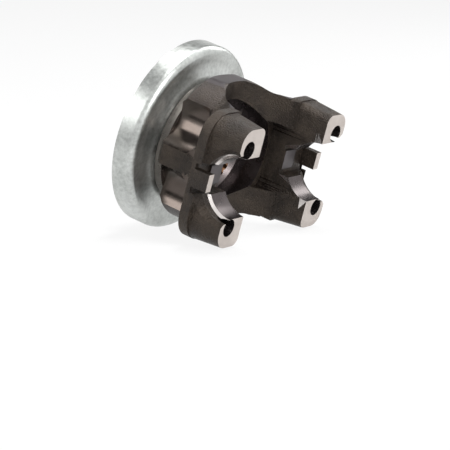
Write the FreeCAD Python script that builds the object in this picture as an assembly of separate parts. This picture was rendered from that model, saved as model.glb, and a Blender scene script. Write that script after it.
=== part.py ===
# Forged end yoke for a U-joint, with its pressed-on dust deflector.
#
# The yoke stands on the flat end of its hub: the origin is the centre of that end, +Z is the
# axis of the splined bore and points up to the four lugs, and X is the axis of the two bearing
# seats.  All lengths are millimetres.

import FreeCAD, Part
import math
import os

os.makedirs("parts", exist_ok=True)

V = FreeCAD.Vector
X_AXIS = V(1, 0, 0)
Y_AXIS = V(0, 1, 0)
Z_AXIS = V(0, 0, 1)

# ---------------------------------------------------------------- driving dimensions
# bearing seats and the U-bolt holes beside them
seat_dia = 30.18             # bearing cup that lies in each half-round seat
tab_span = 92.1              # between the inner faces of the two locating tabs
seat_end_gap = 4.65          # from a tab's inner face back to the end of the seat
seat_chamfer = 1.2           # lead-in round the outer end of a seat
hole_dia = 8.73              # clearance for the U-bolt's leg
hole_span_x = 78.0           # centre to centre along the bearing axis
hole_span_y = 38.9           # centre to centre across one seat
hole_chamfer = 0.5

# heights above the hub's end
lug_face_z = 78.0            # machined ends of the four lugs, level with the bearing axis
ear_thick = 21.5             # lug face down to the spot faces behind the ears
flange_thick = 5.0           # thin rim of the ear beside the spot faces
seal_len = 10.0              # ground journal for the oil seal
deflector_seat_len = 12.0    # turned seat that the deflector is pressed on
ring_len = 4.0               # turned ring between the deflector and the forged barrel
seal_step = 2.0              # taper between the journal and the deflector's seat

# hub
seal_dia = 52.0
deflector_seat_dia = 59.6
ring_dia = 62.6
shoulder_dia = 69.4          # foot of the barrel, where turning stopped
barrel_dia = 75.0
barrel_chamfer = 2.8
barrel_len = 17.0
flare_radius = 15.0          # forged root between the barrel and the ears
end_chamfer = 1.5

# splined bore and the recess for the pinion nut
spline_teeth = 31
spline_major_dia = 41.8
spline_minor_dia = 38.8
spline_chamfer = 1.8
pilot_dia = 43.2             # plain bore at the hub's end
pilot_depth = 9.0
nut_recess_dia = 54.0
nut_seat_z = 37.5

# arms and ears as forged
arm_gap = 52.6               # width and round bottom of the slot between the arms
slot_depth = 39.3            # lug face down to the bottom of that slot
lug_gap = 56.8               # between the inner faces of the lugs at their ends
throat_gap = 56.0            # between the arms below the seats
throat_width = 35.0
throat_corner = 5.0
throat_floor = 28.7          # lug face down to the foot of the throat
side_width = 72.0            # across the trimmed sides of the hub
side_waist = 62.2            # across the arms where they meet the ears
side_waist_drop = 20.4       # lug face down to the waist
side_start_drop = 38.5       # lug face down to where the sides start to curve in
side_bow = 1.1               # how far that curve lies inside a straight line
ear_width_x = 100.0
ear_width_y = 63.4
ear_corner = 13.0
lug_width_x = 92.6
lug_width_y = 59.2
lug_corner = 7.4
lug_draft = 0.085
inner_corner = 4.0           # rounding of the arms' inner edges at the ears

# behind the ears, and round the ends of the seats
spot_dia = 20.0              # spot faces for the U-bolt nuts
scallop_dia = 29.2           # clearance for the nuts' socket, down the side of the barrel
scallop_top = 12.5           # from the spot face down to where the scallop starts to narrow
scallop_neck = 7.0           # from the spot face down to where it is as narrow as the spot face
end_relief_dia = 34.0        # forged relief beyond the outer end of a seat
end_relief_lead = 1.8        # how far its mouth opens at the lug's outer face
relief_width = 14.8          # groove along the bottom of a seat
relief_depth = 19.2          # lug face down to the floor of the groove
pad_width = 9.6              # raised rib that the groove leaves, from the throat to the tab
pad_depth = 18.0
pad_len = 9.5
tab_width = 8.8
tab_depth = 10.6             # lug face down to the top of a tab

# dust deflector, a steel stamping
deflector_dia = 95.0
deflector_sheet = 1.8
deflector_rim_back = 10.8    # height of the rim's free edge above the hub's end
deflector_face_z = 22.0      # front of the rim
deflector_corner = 3.6
deflector_dish = 1.0         # how far the face sinks between the rim and the hub
deflector_dish_dia = 74.0    # where it is deepest
deflector_root = 2.6         # bend between the face and the sleeve

# ---------------------------------------------------------------- worked-out places
seat_r = seat_dia / 2
seat_end_x = tab_span / 2 - seat_end_gap
spot_z = lug_face_z - ear_thick
flange_top_z = spot_z + flange_thick
seat_foot_z = seal_len + seal_step
shoulder_z = seat_foot_z + deflector_seat_len
barrel_z = shoulder_z + ring_len
flare_z = barrel_z + barrel_len
hole_xy = [(sx * hole_span_x / 2, sy * hole_span_y / 2) for sx in (-1, 1) for sy in (-1, 1)]
beyond = 200.0               # long enough to pass right through the yoke
run_in = 2.0                 # how far a cutter starts inside open space


# ---------------------------------------------------------------- helpers
def box(x0, x1, y0, y1, z0, z1):
    return Part.makeBox(x1 - x0, y1 - y0, z1 - z0, V(x0, y0, z0))


def rod(radius, z0, z1, x=0.0, y=0.0):
    return Part.makeCylinder(radius, z1 - z0, V(x, y, z0), Z_AXIS)


def chain(points):
    """Straight edges through the points, in order."""
    return [Part.LineSegment(a, b).toShape() for a, b in zip(points, points[1:]) if a != b]


def revolved(edges):
    """Solid of revolution about Z from a closed outline in the XZ plane."""
    return Part.Face(Part.Wire(edges)).revolve(V(0, 0, 0), Z_AXIS, 360)


def ear_outline(inner_x, outer_x, half_y, outer_corner, z):
    """Closed wire of one ear, +X side: tight corners next to the slot, full ones outside."""
    outer = outer_corner
    inner = inner_corner
    corners = [(outer_x - outer, half_y - outer, outer), (inner_x + inner, half_y - inner, inner),
               (inner_x + inner, inner - half_y, inner), (outer_x - outer, outer - half_y, outer)]
    arcs = []
    for turn, (cx, cy, radius) in enumerate(corners):
        start = turn * math.pi / 2
        arcs.append([V(cx + radius * math.cos(start + k * math.pi / 4),
                       cy + radius * math.sin(start + k * math.pi / 4), z) for k in range(3)])
    edges = []
    for arc, following in zip(arcs, arcs[1:] + arcs[:1]):
        edges.append(Part.Arc(arc[0], arc[1], arc[2]).toShape())
        edges.append(Part.LineSegment(arc[2], following[0]).toShape())
    return Part.Wire(edges)


# ---------------------------------------------------------------- the forging
def hub():
    """Turned lower end of the hub, forged barrel and the flare up to the back of the ears."""
    r_end = seal_dia / 2
    lower = chain([
        V(0, 0, 0),
        V(r_end - end_chamfer, 0, 0),
        V(r_end, 0, end_chamfer),
        V(r_end, 0, seal_len),
        V(deflector_seat_dia / 2, 0, seat_foot_z),
        V(deflector_seat_dia / 2, 0, shoulder_z),
        V(ring_dia / 2, 0, shoulder_z),
        V(ring_dia / 2, 0, barrel_z),
        V(shoulder_dia / 2, 0, barrel_z),
        V(barrel_dia / 2, 0, barrel_z + barrel_chamfer),
        V(barrel_dia / 2, 0, flare_z),
    ])
    centre = V(barrel_dia / 2 + flare_radius, 0, flare_z)
    rise = spot_z - flare_z
    half = math.asin(rise / flare_radius) / 2
    mid = V(centre.x - flare_radius * math.cos(half), 0, flare_z + flare_radius * math.sin(half))
    top = V(centre.x - flare_radius * math.cos(2 * half), 0, spot_z)
    flare = Part.Arc(V(barrel_dia / 2, 0, flare_z), mid, top).toShape()
    cap = chain([top, V(0, 0, spot_z), V(0, 0, 0)])
    return revolved(lower + [flare] + cap)


def side_slab():
    """Room between the two trimmed sides, which curve in towards the waist under the ears."""
    half = side_width / 2
    waist = side_waist / 2
    start_z = lug_face_z - side_start_drop
    waist_z = lug_face_z - side_waist_drop
    middle = V(0, (half + waist) / 2 - side_bow, (start_z + waist_z) / 2)
    right = Part.Arc(V(0, half, start_z), middle, V(0, waist, waist_z)).toShape()
    middle = V(0, -middle.y, middle.z)
    left = Part.Arc(V(0, -waist, waist_z), middle, V(0, -half, start_z)).toShape()
    top = chain([V(0, waist, waist_z), V(0, waist, lug_face_z), V(0, -waist, lug_face_z),
                 V(0, -waist, waist_z)])
    foot = chain([V(0, -half, start_z), V(0, -half, -1), V(0, half, -1), V(0, half, start_z)])
    slab = Part.Face(Part.Wire([right] + top + [left] + foot)).extrude(V(beyond, 0, 0))
    slab.translate(V(-beyond / 2, 0, 0))
    return slab


def ear(side):
    """Thin flange behind one ear, the tapered lug block on it and the rib under the tab."""
    inner = arm_gap / 2
    outer = ear_width_x / 2
    flange = Part.Face(ear_outline(inner - inner_corner / 2, outer, ear_width_y / 2,
                                   ear_corner, spot_z)).extrude(V(0, 0, flange_thick))
    grow = lug_draft * (lug_face_z - flange_top_z)
    foot = ear_outline(inner, lug_width_x / 2 + grow, lug_width_y / 2 + grow,
                       lug_corner + grow, flange_top_z)
    tip = ear_outline(lug_gap / 2, lug_width_x / 2, lug_width_y / 2, lug_corner, lug_face_z)
    block = Part.makeLoft([foot, tip], True, True)
    rib = box(inner + run_in, outer, -tab_width / 2, tab_width / 2, spot_z, lug_face_z - tab_depth)
    shape = flange.fuse([block, rib])
    if side < 0:
        shape.rotate(V(0, 0, 0), Z_AXIS, 180)
    return shape


def arm_slot():
    """Round-bottomed slot between the arms, open a little wider at the lugs."""
    r = arm_gap / 2
    centre_z = lug_face_z - slot_depth + r
    y = -beyond / 2
    left = V(-r, y, centre_z)
    right = V(r, y, centre_z)
    floor = Part.Arc(left, V(0, y, centre_z - r), right).toShape()
    lip = lug_gap / 2
    walls = chain([right, V(lip, y, lug_face_z), V(lip, y, beyond), V(-lip, y, beyond),
                   V(-lip, y, lug_face_z), left])
    return Part.Face(Part.Wire([floor] + walls)).extrude(V(0, beyond, 0))


def throat():
    """Pocket under the seats that thins the middle of each arm."""
    half = throat_gap / 2
    wide = throat_width / 2
    foot = lug_face_z - throat_floor
    block = box(-half, half, -wide, wide, foot, lug_face_z)
    upright = [e for e in block.Edges if abs(e.BoundBox.ZLength - (lug_face_z - foot)) < 1e-6]
    return block.makeFillet(throat_corner, upright)


def nut_recess():
    return rod(nut_recess_dia / 2, nut_seat_z, beyond)


def splined_bore():
    """Bore with straight-flanked teeth, chamfered above and opened to a plain pilot below."""
    root = spline_major_dia / 2
    tip = spline_minor_dia / 2
    pitch = 2 * math.pi / spline_teeth
    corners = []
    for tooth in range(spline_teeth):
        for radius, share in ((root, -0.18), (root, 0.18), (tip, 0.30), (tip, 0.70)):
            angle = (tooth + share) * pitch
            corners.append(V(radius * math.cos(angle), radius * math.sin(angle), 0))
    corners.append(corners[0])
    spline = Part.Face(Part.Wire(chain(corners))).extrude(V(0, 0, nut_seat_z + 1))
    lead = Part.makeCone(tip, root + spline_chamfer, root + spline_chamfer - tip,
                         V(0, 0, nut_seat_z - (root + spline_chamfer - tip)), Z_AXIS)
    pilot = rod(pilot_dia / 2, -1, pilot_depth)
    mouth = Part.makeCone(pilot_dia / 2 + end_chamfer, pilot_dia / 2, end_chamfer)
    return spline.fuse([lead, pilot, mouth])


def bearing_seats():
    """The half-round seats, bored in line through both ears, and their outer lead-in."""
    bore = Part.makeCylinder(seat_r, 2 * seat_end_x, V(-seat_end_x, 0, lug_face_z), X_AXIS)
    cuts = [bore]
    for side in (-1, 1):
        start = V(side * (seat_end_x - seat_chamfer), 0, lug_face_z)
        length = 1.4 * seat_chamfer
        cuts.append(Part.makeCone(seat_r, seat_r + length, length, start, V(side, 0, 0)))
    return cuts


def tab_keeper(side):
    """Space that the locating tab and the rib below it keep to themselves."""
    near, far = sorted((side * tab_span / 2, side * beyond))
    return box(near, far, -tab_width / 2, tab_width / 2, 0, lug_face_z - tab_depth)


def seat_end_relief(side):
    """Forged relief from the end of a seat outwards, opening at the lug's outer face."""
    outward = V(side, 0, 0)
    radius = end_relief_dia / 2
    mouth_x = lug_width_x / 2
    ring = Part.makeCylinder(radius, beyond, V(side * seat_end_x, 0, lug_face_z), outward)
    lead = Part.makeCone(radius, radius + 3 * end_relief_lead, 3 * end_relief_lead,
                         V(side * (mouth_x - end_relief_lead), 0, lug_face_z), outward)
    return ring.fuse(lead).cut(tab_keeper(side))


def seat_groove(side):
    """Groove along the bottom of a seat, with a raised pad next to the throat."""
    inner = side * (throat_gap / 2 - run_in)
    near, far = sorted((inner, side * beyond))
    half = relief_width / 2
    groove = box(near, far, -half, half, lug_face_z - relief_depth, lug_face_z)
    pad_near, pad_far = sorted((inner, side * (throat_gap / 2 + pad_len)))
    pad = box(pad_near, pad_far, -pad_width / 2, pad_width / 2, 0, lug_face_z - pad_depth)
    return groove.cut([pad, tab_keeper(side)])


def spot_faces():
    """Flat seats for the nuts behind the ears, and the scallops down the barrel below them."""
    cuts = []
    top = spot_z - scallop_top
    neck = spot_z - scallop_neck
    for x, y in hole_xy:
        cuts.append(rod(scallop_dia / 2, barrel_z, top, x, y))
        cuts.append(Part.makeCone(scallop_dia / 2, spot_dia / 2, neck - top, V(x, y, top), Z_AXIS))
        cuts.append(rod(spot_dia / 2, neck, spot_z, x, y))
    return cuts


def u_bolt_holes():
    cuts = []
    for x, y in hole_xy:
        cuts.append(rod(hole_dia / 2, spot_z - 1, lug_face_z + 1, x, y))
    return cuts


def yoke():
    blank = hub().common(side_slab()).fuse([ear(1), ear(-1)])
    cuts = [arm_slot(), throat(), nut_recess(), splined_bore()]
    cuts += bearing_seats()
    cuts += [seat_end_relief(side) for side in (-1, 1)]
    cuts += [seat_groove(side) for side in (-1, 1)]
    cuts += spot_faces()
    cuts += u_bolt_holes()
    return blank.cut(cuts).removeSplitter()


# ---------------------------------------------------------------- the dust deflector
def dust_deflector():
    """Stamped ring: sleeve on the hub, dished face, rolled corner and a rim turned back."""
    t = deflector_sheet
    bore = deflector_seat_dia / 2
    rim = deflector_dia / 2
    face = deflector_face_z
    corner = deflector_corner
    root = deflector_root
    dish_r = deflector_dish_dia / 2
    q = math.sqrt(0.5)
    outside = [V(bore, 0, seat_foot_z + t / 2), V(bore, 0, shoulder_z),
               V(bore + root, 0, shoulder_z - root / 4), V(dish_r, 0, face - deflector_dish),
               V(rim - corner, 0, face)]
    bend = Part.Arc(V(rim - corner, 0, face),
                    V(rim - corner + corner * q, 0, face - corner + corner * q),
                    V(rim, 0, face - corner)).toShape()
    inside = [V(rim, 0, face - corner), V(rim, 0, deflector_rim_back),
              V(rim - t, 0, deflector_rim_back), V(rim - t, 0, face - corner),
              V(rim - corner, 0, face - t), V(dish_r, 0, face - deflector_dish - t),
              V(bore + root + t / 2, 0, shoulder_z - root / 4 - t),
              V(bore + t, 0, shoulder_z - root - t), V(bore + t, 0, seat_foot_z + t / 2),
              V(bore, 0, seat_foot_z + t / 2)]
    return revolved(chain(outside) + [bend] + chain(inside))


for name, build in (("yoke", yoke), ("dust_deflector", dust_deflector)):
    solid = build()
    print(name, "solids", len(solid.Solids), "valid", solid.isValid(), "volume", round(solid.Volume))
    solid.exportStep("parts/" + name + ".step")
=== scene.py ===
# %% [markdown]
# # Forged end yoke
# This lesson dresses a forged steel yoke for a U-joint.  The exact solids come from the packed
# CAD model, so the first step is to load them.  Everything is in metres, with +Z along the
# splined bore towards the four lugs and +X along the two bearing seats.

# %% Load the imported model
import math
import bmesh
import bpy
from mathutils import Matrix, Vector


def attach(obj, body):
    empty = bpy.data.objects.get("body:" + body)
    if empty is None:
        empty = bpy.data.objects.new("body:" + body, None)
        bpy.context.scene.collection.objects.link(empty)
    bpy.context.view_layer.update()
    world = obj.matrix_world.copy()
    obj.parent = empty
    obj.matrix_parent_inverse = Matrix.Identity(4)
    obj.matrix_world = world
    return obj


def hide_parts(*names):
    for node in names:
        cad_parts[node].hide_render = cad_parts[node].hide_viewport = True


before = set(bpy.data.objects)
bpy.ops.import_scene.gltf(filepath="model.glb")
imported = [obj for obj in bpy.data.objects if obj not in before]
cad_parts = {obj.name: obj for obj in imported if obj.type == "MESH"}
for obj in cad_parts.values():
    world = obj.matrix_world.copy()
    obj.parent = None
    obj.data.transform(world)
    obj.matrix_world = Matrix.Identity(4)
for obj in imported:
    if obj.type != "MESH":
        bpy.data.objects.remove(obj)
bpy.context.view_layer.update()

# %% [markdown]
# The camera stands well back with a long lens, which keeps the round flange from swelling at one
# side.  It is rolled, because the part lies on its flange and two of its lugs, while the model
# stands upright on its hub.

# %% Camera
CAMERA_AT = Vector((-0.87232, 0.29530, 0.55720))
LOOK_AT = Vector((-0.04924, -0.01493, 0.08149))
PICTURE_UP = Vector((0.13347, 0.91983, -0.36892))

camera_data = bpy.data.cameras.new("camera")
camera_data.sensor_width = 36.0
camera_data.lens = 173.42
camera_data.clip_end = 20.0
camera = bpy.data.objects.new("camera", camera_data)
back = (CAMERA_AT - LOOK_AT).normalized()
right = PICTURE_UP.cross(back).normalized()
up = back.cross(right)
turn = Matrix((right, up, back)).transposed().to_4x4()
camera.matrix_world = Matrix.Translation(CAMERA_AT) @ turn
bpy.context.scene.collection.objects.link(camera)
bpy.context.scene.camera = camera
bpy.context.scene.view_settings.view_transform = 'Standard'
print("camera lens", camera_data.lens, "mm")

# %% [markdown]
# The floor is the plane on which the part lies: it touches the flange's rim and the two lower
# lugs.  It is plain and pale, and it is seen through from behind, so that a view from below
# still shows the part.  To the camera most of it glows white, and the rest of its brightness
# comes from the lamps, so that a soft shadow stays.

# %% Floor
RIM = Vector((0.0, -0.0475, 0.0155))
LUG = Vector((0.0, -0.0302, 0.0780))
along = (LUG - RIM).normalized()
floor_up = Vector((1.0, 0.0, 0.0)).cross(along)
if floor_up.y < 0:
    floor_up = -floor_up

bm = bmesh.new()
bmesh.ops.create_grid(bm, x_segments=1, y_segments=1, size=3.0)
grid_turn = Matrix((Vector((1.0, 0.0, 0.0)), floor_up.cross(Vector((1.0, 0.0, 0.0))), floor_up))
bm.transform(Matrix.Translation(RIM - floor_up * 0.0005) @ grid_turn.transposed().to_4x4())
floor_mesh = bpy.data.meshes.new("floor")
bm.to_mesh(floor_mesh)
bm.free()
floor = bpy.data.objects.new("floor", floor_mesh)
bpy.context.scene.collection.objects.link(floor)

floor_finish = bpy.data.materials.new("floor_white")
floor_finish.use_nodes = True
nodes = floor_finish.node_tree.nodes
links = floor_finish.node_tree.links
nodes.clear()
out = nodes.new("ShaderNodeOutputMaterial")
paint = nodes.new("ShaderNodeBsdfDiffuse")
paint.inputs["Color"].default_value = (0.86, 0.86, 0.86, 1.0)
glow = nodes.new("ShaderNodeEmission")
glow.inputs["Color"].default_value = (1.0, 1.0, 1.0, 1.0)
glow.inputs["Strength"].default_value = 1.0
clear = nodes.new("ShaderNodeBsdfTransparent")
rays = nodes.new("ShaderNodeLightPath")
seen = nodes.new("ShaderNodeMath")
seen.operation = 'MAXIMUM'
links.new(rays.outputs["Is Camera Ray"], seen.inputs[0])
links.new(rays.outputs["Is Glossy Ray"], seen.inputs[1])
through = nodes.new("ShaderNodeMath")
through.operation = 'MAXIMUM'
links.new(seen.outputs[0], through.inputs[0])
links.new(rays.outputs["Is Transmission Ray"], through.inputs[1])
share = nodes.new("ShaderNodeMath")
share.operation = 'MULTIPLY'
share.inputs[1].default_value = 0.88
links.new(through.outputs[0], share.inputs[0])
white = nodes.new("ShaderNodeMixShader")
links.new(share.outputs[0], white.inputs["Fac"])
links.new(paint.outputs[0], white.inputs[1])
links.new(glow.outputs[0], white.inputs[2])
facing = nodes.new("ShaderNodeNewGeometry")
sides = nodes.new("ShaderNodeMixShader")
links.new(facing.outputs["Backfacing"], sides.inputs["Fac"])
links.new(white.outputs[0], sides.inputs[1])
links.new(clear.outputs[0], sides.inputs[2])
links.new(sides.outputs[0], out.inputs["Surface"])
floor.data.materials.append(floor_finish)
print("floor normal", [round(v, 3) for v in floor_up])

# %% [markdown]
# Steel shows what stands round it, so the lamps matter as much as the materials.  A narrow
# softbox on the left draws the bright stripes down the machined hollows, a wide one overhead
# lights the forging, a third from the front picks out the ends of the lugs, and a fourth on the
# far side keeps the far arm apart from its shadow.

# %% Lamps
SUBJECT = Vector((0.0, 0.0, 0.045))


def softbox(name, towards, distance, width, height, watts):
    """An area lamp that stands in one direction from the part and faces it."""
    data = bpy.data.lights.new(name, 'AREA')
    data.shape = 'RECTANGLE'
    data.size = width
    data.size_y = height
    data.energy = watts
    lamp = bpy.data.objects.new(name, data)
    direction = Vector(towards).normalized()
    side = floor_up.cross(direction).normalized()
    top = direction.cross(side)
    place = Matrix((side, top, direction)).transposed().to_4x4()
    lamp.matrix_world = Matrix.Translation(SUBJECT + direction * distance) @ place
    bpy.context.scene.collection.objects.link(lamp)
    return lamp


softbox("stripe_lamp", (-0.78, 0.37, -0.51), 1.1, 0.20, 0.55, 1.8)
softbox("overhead_lamp", (0.10, 0.93, -0.20), 1.0, 0.45, 0.35, 8.0)
softbox("front_lamp", (-0.30, 0.62, 0.72), 1.2, 0.50, 0.50, 8.0)
softbox("far_lamp", (0.83, 0.50, -0.10), 1.3, 0.70, 0.70, 7.0)

# %% [markdown]
# The world is a plain pale grey to light the part, and white where the camera, a reflection or a
# clear surface looks straight at it.

# %% World
world = bpy.data.worlds.new("studio")
world.use_nodes = True
bpy.context.scene.world = world
nodes = world.node_tree.nodes
links = world.node_tree.links
nodes.clear()
out = nodes.new("ShaderNodeOutputWorld")
walls = nodes.new("ShaderNodeBackground")
walls.inputs["Color"].default_value = (0.30, 0.30, 0.31, 1.0)
walls.inputs["Strength"].default_value = 1.0
backdrop = nodes.new("ShaderNodeBackground")
backdrop.inputs["Color"].default_value = (1.0, 1.0, 1.0, 1.0)
backdrop.inputs["Strength"].default_value = 1.0
rays = nodes.new("ShaderNodeLightPath")
seen = nodes.new("ShaderNodeMath")
seen.operation = 'MAXIMUM'
links.new(rays.outputs["Is Camera Ray"], seen.inputs[0])
links.new(rays.outputs["Is Glossy Ray"], seen.inputs[1])
through = nodes.new("ShaderNodeMath")
through.operation = 'MAXIMUM'
links.new(seen.outputs[0], through.inputs[0])
links.new(rays.outputs["Is Transmission Ray"], through.inputs[1])
swap = nodes.new("ShaderNodeMixShader")
links.new(through.outputs[0], swap.inputs["Fac"])
links.new(walls.outputs[0], swap.inputs[1])
links.new(backdrop.outputs[0], swap.inputs[2])
links.new(swap.outputs[0], out.inputs["Surface"])
print("world ready")

# %% [markdown]
# A white room alone makes steel look flat.  Studios hang dark cards where the metal looks, so
# that its curves show a dark edge.  These cards stand apart from the part, and only reflections
# see them.

# %% Dark cards
def card(name, towards, distance, width, height, tone):
    """A plain card that stands in one direction from the part and shows in reflections only."""
    direction = Vector(towards).normalized()
    side = floor_up.cross(direction).normalized()
    top = direction.cross(side)
    place = Matrix((side, top, direction)).transposed().to_4x4()
    bm = bmesh.new()
    bmesh.ops.create_grid(bm, x_segments=1, y_segments=1, size=0.5)
    bm.transform(Matrix.Translation(SUBJECT + direction * distance) @ place
                 @ Matrix.Diagonal((width, height, 1.0, 1.0)))
    mesh = bpy.data.meshes.new(name)
    bm.to_mesh(mesh)
    bm.free()
    paper = bpy.data.materials.new(name + "_paper")
    paper.use_nodes = True
    shader = paper.node_tree.nodes["Principled BSDF"]
    shader.inputs["Base Color"].default_value = (tone, tone, tone, 1.0)
    shader.inputs["Roughness"].default_value = 0.9
    obj = bpy.data.objects.new(name, mesh)
    mesh.materials.append(paper)
    bpy.context.scene.collection.objects.link(obj)
    for ray in ("camera", "diffuse", "transmission", "shadow"):
        setattr(obj, "visible_" + ray, False)
    return obj


card("card_low_left", (-0.86, -0.28, -0.42), 0.55, 0.34, 0.30, 0.03)
card("card_high_right", (0.55, 0.66, -0.50), 0.60, 0.40, 0.40, 0.03)
card("card_above_left", (-0.35, 0.78, -0.50), 0.60, 0.22, 0.40, 0.10)
card("card_behind", (0.95, 0.20, -0.25), 0.70, 0.30, 0.50, 0.10)
print("cards hung")

# %% [markdown]
# The yoke's finishes share one effect, so it is a node group.  A forging's skin is uneven at two
# scales: a slow mottle, where scale came off in patches, and fine pits.

# %% Node group: forged skin
def new_group(name, inputs, outputs):
    """A shader node group with named sockets; returns the tree and its two end nodes."""
    tree = bpy.data.node_groups.new(name, 'ShaderNodeTree')
    for label, kind in inputs:
        tree.interface.new_socket(name=label, in_out='INPUT', socket_type=kind)
    for label, kind in outputs:
        tree.interface.new_socket(name=label, in_out='OUTPUT', socket_type=kind)
    return tree, tree.nodes.new("NodeGroupInput"), tree.nodes.new("NodeGroupOutput")


def noise(tree, source, scale, detail, roughness=0.5):
    """A noise texture on the given coordinates."""
    node = tree.nodes.new("ShaderNodeTexNoise")
    node.inputs["Scale"].default_value = scale
    node.inputs["Detail"].default_value = detail
    node.inputs["Roughness"].default_value = roughness
    tree.links.new(source, node.inputs["Vector"])
    return node.outputs["Fac"]


def math_node(tree, operation, first, second):
    """A maths node whose inputs are sockets or numbers."""
    node = tree.nodes.new("ShaderNodeMath")
    node.operation = operation
    for slot, value in enumerate((first, second)):
        if isinstance(value, (int, float)):
            node.inputs[slot].default_value = value
        else:
            tree.links.new(value, node.inputs[slot])
    return node.outputs[0]


def ramp(tree, source, low, high, to_low=0.0, to_high=1.0):
    """Stretches a value from one range to another and clips it."""
    node = tree.nodes.new("ShaderNodeMapRange")
    node.inputs["From Min"].default_value = low
    node.inputs["From Max"].default_value = high
    node.inputs["To Min"].default_value = to_low
    node.inputs["To Max"].default_value = to_high
    tree.links.new(source, node.inputs["Value"])
    return node.outputs["Result"]


forged_skin, skin_in, skin_out = new_group(
    "forged_skin",
    [("Vector", 'NodeSocketVector')],
    [("Height", 'NodeSocketFloat'), ("Mottle", 'NodeSocketFloat')])
where = skin_in.outputs["Vector"]
slow = noise(forged_skin, where, 90.0, 3.0, 0.6)
fine = noise(forged_skin, where, 1500.0, 3.0, 0.65)
grains = forged_skin.nodes.new("ShaderNodeTexVoronoi")
grains.inputs["Scale"].default_value = 1100.0
forged_skin.links.new(where, grains.inputs["Vector"])
pits = ramp(forged_skin, grains.outputs["Distance"], 0.15, 0.55)
height = math_node(forged_skin, 'ADD', math_node(forged_skin, 'MULTIPLY', fine, 0.7),
                   math_node(forged_skin, 'MULTIPLY', pits, 0.3))
height = math_node(forged_skin, 'ADD', height, math_node(forged_skin, 'MULTIPLY', slow, 1.5))
forged_skin.links.new(height, skin_out.inputs["Height"])
forged_skin.links.new(ramp(forged_skin, slow, 0.35, 0.65), skin_out.inputs["Mottle"])
print("group", forged_skin.name)

# %% [markdown]
# Every finish of the yoke is a Principled shader fed by that group.  A helper sets up the parts
# that they share: object coordinates, the skin, a colour and a roughness that the mottle moves
# between two ends, and a bump.

# %% Helper: steel finish
def steel_finish(name, dark, light, rough_low, rough_high, metallic, bump, bump_depth):
    """A steel finish with mottled colour and roughness, and the skin's relief as bump."""
    finish = bpy.data.materials.new(name)
    finish.use_nodes = True
    tree = finish.node_tree
    shader = tree.nodes["Principled BSDF"]
    coords = tree.nodes.new("ShaderNodeTexCoord")
    skin = tree.nodes.new("ShaderNodeGroup")
    skin.node_tree = forged_skin
    tree.links.new(coords.outputs["Object"], skin.inputs["Vector"])
    tone = tree.nodes.new("ShaderNodeMix")
    tone.data_type = 'RGBA'
    tone.inputs[6].default_value = (*dark, 1.0)
    tone.inputs[7].default_value = (*light, 1.0)
    tree.links.new(skin.outputs["Mottle"], tone.inputs[0])
    tree.links.new(tone.outputs[2], shader.inputs["Base Color"])
    rough = ramp(tree, skin.outputs["Mottle"], 0.0, 1.0, rough_low, rough_high)
    tree.links.new(rough, shader.inputs["Roughness"])
    shader.inputs["Metallic"].default_value = metallic
    relief = tree.nodes.new("ShaderNodeBump")
    relief.inputs["Strength"].default_value = bump
    relief.inputs["Distance"].default_value = bump_depth
    tree.links.new(skin.outputs["Height"], relief.inputs["Height"])
    tree.links.new(relief.outputs["Normal"], shader.inputs["Normal"])
    return finish


# %% The yoke's finishes
finishes = {
    "forging_skin": steel_finish("forging_skin", (0.018, 0.012, 0.008), (0.050, 0.037, 0.027),
                                 0.30, 0.50, 0.45, 1.0, 0.00070),
    "forging_smooth": steel_finish("forging_smooth", (0.020, 0.014, 0.011), (0.042, 0.031, 0.024),
                                   0.34, 0.48, 0.45, 0.8, 0.00030),
    "trimmed_side": steel_finish("trimmed_side", (0.055, 0.048, 0.050), (0.085, 0.075, 0.078),
                                 0.34, 0.46, 0.5, 0.3, 0.00006),
    "cut_hollow": steel_finish("cut_hollow", (0.075, 0.060, 0.052), (0.105, 0.087, 0.077),
                               0.15, 0.22, 0.95, 0.08, 0.00003),
    "milled_face": steel_finish("milled_face", (0.47, 0.42, 0.385), (0.57, 0.52, 0.485),
                                0.45, 0.55, 0.6, 0.2, 0.00004),
    "bored_seat": steel_finish("bored_seat", (0.075, 0.063, 0.062), (0.125, 0.108, 0.108),
                               0.22, 0.32, 0.9, 0.08, 0.00002),
    "turned_ring": steel_finish("turned_ring", (0.14, 0.125, 0.115), (0.22, 0.20, 0.185),
                                0.25, 0.35, 0.9, 0.08, 0.00003),
    "splined_bore": steel_finish("splined_bore", (0.030, 0.013, 0.006), (0.11, 0.048, 0.018),
                                 0.30, 0.45, 0.8, 0.30, 0.00004),
    # seats' end chamfers: a near-white tone on the same steel as the seats, a painted glint
    "chamfer_painted_glint": steel_finish("chamfer_painted_glint", (0.62, 0.58, 0.56), (0.74, 0.70, 0.68),
                                   0.18, 0.25, 0.95, 0.05, 0.00002),
}
print("finishes", list(finishes))

# %% [markdown]
# The yoke's solid already has its true shape, but its mesh is loose triangles.  A copy is merged
# at its corners, and each face gets the finish that the real one has, except the chamfers at the
# seats' ends, whose near-white tone is a painted glint: the copy's faces are sorted by where they
# lie and which way they point, just as a machinist would list the cuts.

# %% Yoke: merge a copy of the solid
SAME_CORNER = 0.000002


def merged_copy(node):
    """A bmesh of the CAD node's shape with its corners joined."""
    shape = bmesh.new()
    shape.from_mesh(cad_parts[node].data)
    bmesh.ops.remove_doubles(shape, verts=shape.verts, dist=SAME_CORNER)
    return shape


yoke_shape = merged_copy("yoke")
print("yoke", len(yoke_shape.verts), "corners", len(yoke_shape.faces), "faces")

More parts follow.
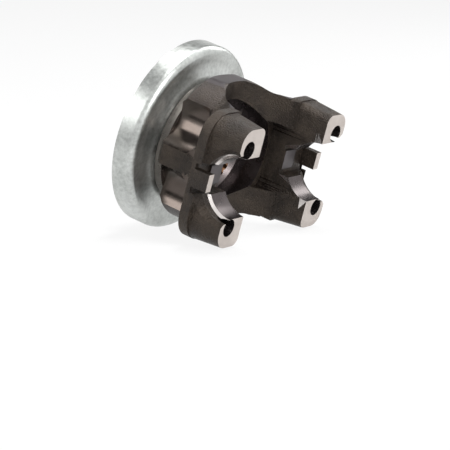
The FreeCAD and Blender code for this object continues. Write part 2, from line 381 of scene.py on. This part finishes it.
# %% Yoke: sort its faces by cut
MM = 1000.0
LUG_Z = 78.0                # machined ends of the lugs, level with the seats' axis
SPOT_Z = 56.5               # spot faces behind the ears
NUT_SEAT_Z = 37.5           # floor of the nut's recess
BARREL_Z = 28.0             # foot of the forged barrel, where turning stopped
SEAT_R = 15.05              # half-round seats, as their facets' centres lie
SEAT_END_X = 41.6           # outer ends of the seats
TAB_X = 45.5                # inner faces of the tabs
RECESS_R = 27.0             # nut's recess
BORE_R = 22.9               # splined bore with its lead and pilot
LEAD_R = 20.9               # from here outwards the bore's lead
HOLE_R = 4.5                # U-bolt holes
SPOT_R = 10.0               # spot faces
SCALLOP_R = 14.62           # scallops down the barrel
HOLES = [(sx * 39.0, sy * 19.45) for sx in (-1, 1) for sy in (-1, 1)]
FINISH_ORDER = list(finishes)


def finish_of(centre, normal):
    """The name of the finish of one face, from its centre in millimetres and its normal."""
    x, y, z = centre
    from_bore = math.hypot(x, y)
    from_seat = math.hypot(y, z - LUG_Z)
    if z > LUG_Z - 0.1 and normal.z > 0.99:
        return "milled_face"
    if abs(x) > TAB_X and abs(y) < 4.6 and normal.z > 0.9 and 60.0 < z < 70.0:
        return "milled_face"
    if 27.0 < abs(x) < 38.5 and abs(y) < 5.0 and normal.z > 0.9 and 58.0 < z < 62.0:
        return "trimmed_side"
    if from_bore < BORE_R and z < NUT_SEAT_Z - 0.05:
        if normal.z > 0.3 and from_bore > LEAD_R:
            return "bored_seat"
        return "splined_bore"
    in_recess = from_bore < RECESS_R + 0.1 and z > NUT_SEAT_Z - 0.2
    if in_recess and (abs(normal.z) < 0.1 or normal.z > 0.99):
        return "bored_seat"
    if abs(x) < SEAT_END_X and abs(from_seat - SEAT_R) < 0.12:
        return "bored_seat"
    # faces just outside the seats' ends get the near-white painted glint
    if abs(x) < SEAT_END_X and 15.1 < from_seat < 17.0 and abs(normal.x) > 0.4:
        return "chamfer_painted_glint"
    for hx, hy in HOLES:
        from_hole = math.hypot(x - hx, y - hy)
        if from_hole < HOLE_R:
            return "bored_seat"
        if BARREL_Z < z < SPOT_Z + 0.1 and from_hole < SCALLOP_R and abs(normal.z) < 0.75:
            if abs(x) > 22.0 and from_hole > SPOT_R - 0.1:
                return "cut_hollow"
        if normal.z < -0.99 and abs(z - SPOT_Z) < 0.1 and from_hole < SPOT_R + 0.1:
            return "milled_face"
    if z < BARREL_Z + 0.05:
        return "turned_ring"
    if abs(normal.y) > 0.93 and abs(y) > 29.5 and BARREL_Z < z < 58.0:
        return "trimmed_side"
    if from_bore > 36.0 and z < 46.0:
        return "forging_smooth" if abs(y) > 20.0 else "forging_skin"
    return "forging_skin"


counts = {}
for face in yoke_shape.faces:
    name = finish_of(face.calc_center_median() * MM, face.normal)
    face.material_index = FINISH_ORDER.index(name)
    face.smooth = True
    counts[name] = counts.get(name, 0) + 1
print(counts)

# %% Yoke: into the scene
def add_piece(name, shape, sharp_deg, materials):
    """Turns a bmesh into an object whose edges stay crisp where they turn sharply."""
    shape.normal_update()
    for edge in shape.edges:
        if len(edge.link_faces) == 2:
            edge.smooth = edge.calc_face_angle(0.0) < math.radians(sharp_deg)
    mesh = bpy.data.meshes.new(name)
    shape.to_mesh(mesh)
    shape.free()
    piece = bpy.data.objects.new(name, mesh)
    bpy.context.scene.collection.objects.link(piece)
    for material in materials:
        mesh.materials.append(material)
    return piece


yoke = add_piece("forged_yoke", yoke_shape, 28.0, [finishes[n] for n in FINISH_ORDER])
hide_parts("yoke")
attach(yoke, "root")
print("yoke in place")

# %% [markdown]
# The deflector is a steel stamping with a zinc plate.  It is turned from its own section: a
# closed outline is spun round the bore's axis, so that its rolled corner stays smooth.

# %% Deflector: spin its section
RIM_R = 0.0475              # outside of the rim
SHEET = 0.0018              # thickness of the sheet
RIM_BACK = 0.0108           # free edge of the rim
FACE_Z = 0.0220             # front of the rim
CORNER = 0.0036             # rolled corner between the face and the rim
CORNER_STEPS = 9
DISH_R = 0.0370             # where the face is deepest
DISH_Z = FACE_Z - 0.0010
SLEEVE_R = 0.0298           # the sleeve's bore on the hub
SHOULDER_Z = 0.0240         # end of the sleeve at the turned ring
ROOT = 0.0026               # bend between the face and the sleeve
ROOT_Z = SHOULDER_Z - ROOT / 4
SLEEVE_BACK = 0.0129        # other end of the sleeve
ROUND_STEPS = 192

outline = [(SLEEVE_R, SLEEVE_BACK), (SLEEVE_R, SHOULDER_Z), (SLEEVE_R + ROOT, ROOT_Z),
           (DISH_R, DISH_Z), (RIM_R - CORNER, FACE_Z)]
for step in range(1, CORNER_STEPS):
    angle = math.pi / 2 * (1 - step / CORNER_STEPS)
    outline.append((RIM_R - CORNER + CORNER * math.cos(angle),
                    FACE_Z - CORNER + CORNER * math.sin(angle)))
outline += [(RIM_R, FACE_Z - CORNER), (RIM_R, RIM_BACK), (RIM_R - SHEET, RIM_BACK),
            (RIM_R - SHEET, FACE_Z - CORNER), (RIM_R - CORNER, FACE_Z - SHEET),
            (DISH_R, DISH_Z - SHEET), (SLEEVE_R + ROOT + SHEET / 2, ROOT_Z - SHEET),
            (SLEEVE_R + SHEET, SHOULDER_Z - ROOT - SHEET), (SLEEVE_R + SHEET, SLEEVE_BACK)]
print("section", len(outline), "corners")

# %% Deflector: spin it round the bore's axis
ring = bmesh.new()
corners = [ring.verts.new((r, 0.0, z)) for r, z in outline]
loop = [ring.edges.new((corners[i - 1], corners[i])) for i in range(len(corners))]
bmesh.ops.spin(ring, geom=corners + loop, cent=(0, 0, 0), axis=(0, 0, 1), dvec=(0, 0, 0),
               angle=2 * math.pi, steps=ROUND_STEPS, use_merge=True)
bmesh.ops.recalc_face_normals(ring, faces=ring.faces)
print("ring", len(ring.faces), "faces")

# %% [markdown]
# A pressed sheet has no sharp bends.  The two circles where the section still turns sharply, at
# the bottom of the dish and at the root of the sleeve, are bevelled.

# %% Deflector: round its bends
NEAR = 1e-5


def round_ring(radius, height, width, segments):
    """Rounds the circular edge that lies at one radius and height of the spun section."""
    def on_circle(vert):
        return (abs(math.hypot(vert.co.x, vert.co.y) - radius) < NEAR
                and abs(vert.co.z - height) < NEAR)

    edges = [edge for edge in ring.edges if all(on_circle(vert) for vert in edge.verts)]
    bmesh.ops.bevel(ring, geom=edges, offset=width, segments=segments, profile=0.5,
                    affect='EDGES', material=-1)


round_ring(DISH_R, DISH_Z, 0.0036, 6)
round_ring(SLEEVE_R + ROOT, ROOT_Z, 0.0012, 4)
for face in ring.faces:
    face.smooth = True
print("deflector", len(ring.faces), "faces")

# %% [markdown]
# The plate has a fine frosty grain over soft clouds.  One mixed value moves both the colour and
# the roughness, and the grain alone gives a very shallow bump.

# %% Finish: zinc plate
zinc = bpy.data.materials.new("zinc_plate")
zinc.use_nodes = True
tree = zinc.node_tree
shader = tree.nodes["Principled BSDF"]
coords = tree.nodes.new("ShaderNodeTexCoord")
place = coords.outputs["Object"]
spangle = noise(tree, place, 500.0, 4.0, 0.7)
cloud = noise(tree, place, 45.0, 3.0, 0.55)
mixed = math_node(tree, 'ADD', math_node(tree, 'MULTIPLY', spangle, 0.6),
                  math_node(tree, 'MULTIPLY', cloud, 0.6))
tone = tree.nodes.new("ShaderNodeMix")
tone.data_type = 'RGBA'
tone.inputs[6].default_value = (0.34, 0.355, 0.34, 1.0)
tone.inputs[7].default_value = (0.66, 0.68, 0.66, 1.0)
tree.links.new(ramp(tree, mixed, 0.42, 0.78), tone.inputs[0])
tree.links.new(tone.outputs[2], shader.inputs["Base Color"])
tree.links.new(ramp(tree, mixed, 0.4, 0.8, 0.30, 0.42), shader.inputs["Roughness"])
shader.inputs["Metallic"].default_value = 0.92
relief = tree.nodes.new("ShaderNodeBump")
relief.inputs["Strength"].default_value = 0.25
relief.inputs["Distance"].default_value = 0.00005
tree.links.new(spangle, relief.inputs["Height"])
tree.links.new(relief.outputs["Normal"], shader.inputs["Normal"])
print("finish", zinc.name)

# %% Deflector: into the scene
deflector = add_piece("dust_deflector_ring", ring, 35.0, [zinc])
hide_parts("dust_deflector")
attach(deflector, "root")
print("deflector in place")
